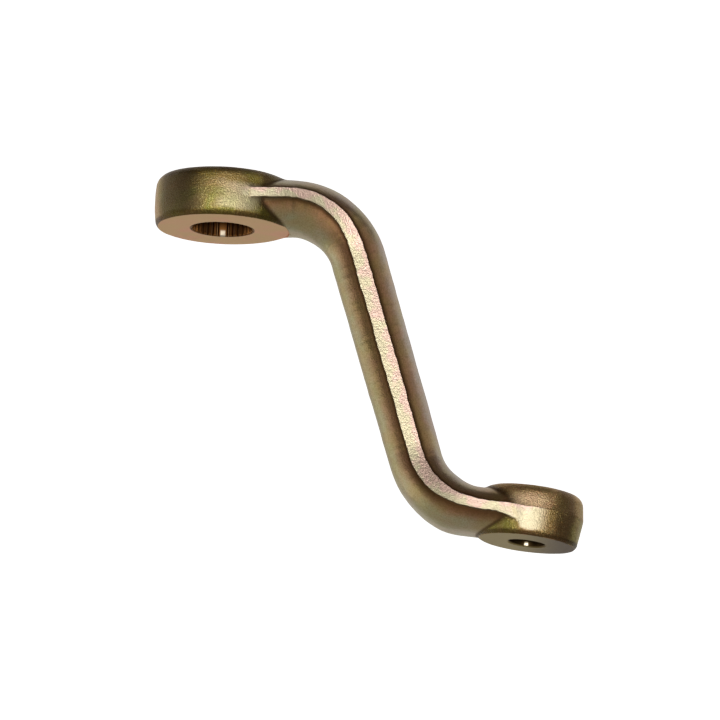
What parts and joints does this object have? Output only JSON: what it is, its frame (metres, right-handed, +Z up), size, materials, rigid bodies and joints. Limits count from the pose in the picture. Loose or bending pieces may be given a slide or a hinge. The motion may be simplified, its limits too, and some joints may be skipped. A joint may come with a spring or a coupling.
{
  "type": "drop pitman arm",
  "caption": "Forged S-shaped steering arm with a splined eye for the steering box shaft and a lower tapered eye for a drag link stud, yellow-plated, with a trimmed flash line.",
  "frame": {"origin": "centre of the splined bore, midway between the two machined faces of the splined eye", "axes": "+Z up along the splined bore towards the steering box, +X towards the tapered eye, Y across the plane the S lies in"},
  "size_m": [0.2171, 0.068, 0.1772],
  "materials": {
    "plated_forging": "forged steel with yellow chromate on zinc, brown-gold with faint pink and green; eye faces and bores machined before plating"
  },
  "bodies": {
    "root": {"pitman_arm": "plated_forging"}
  },
  "joints": []
}
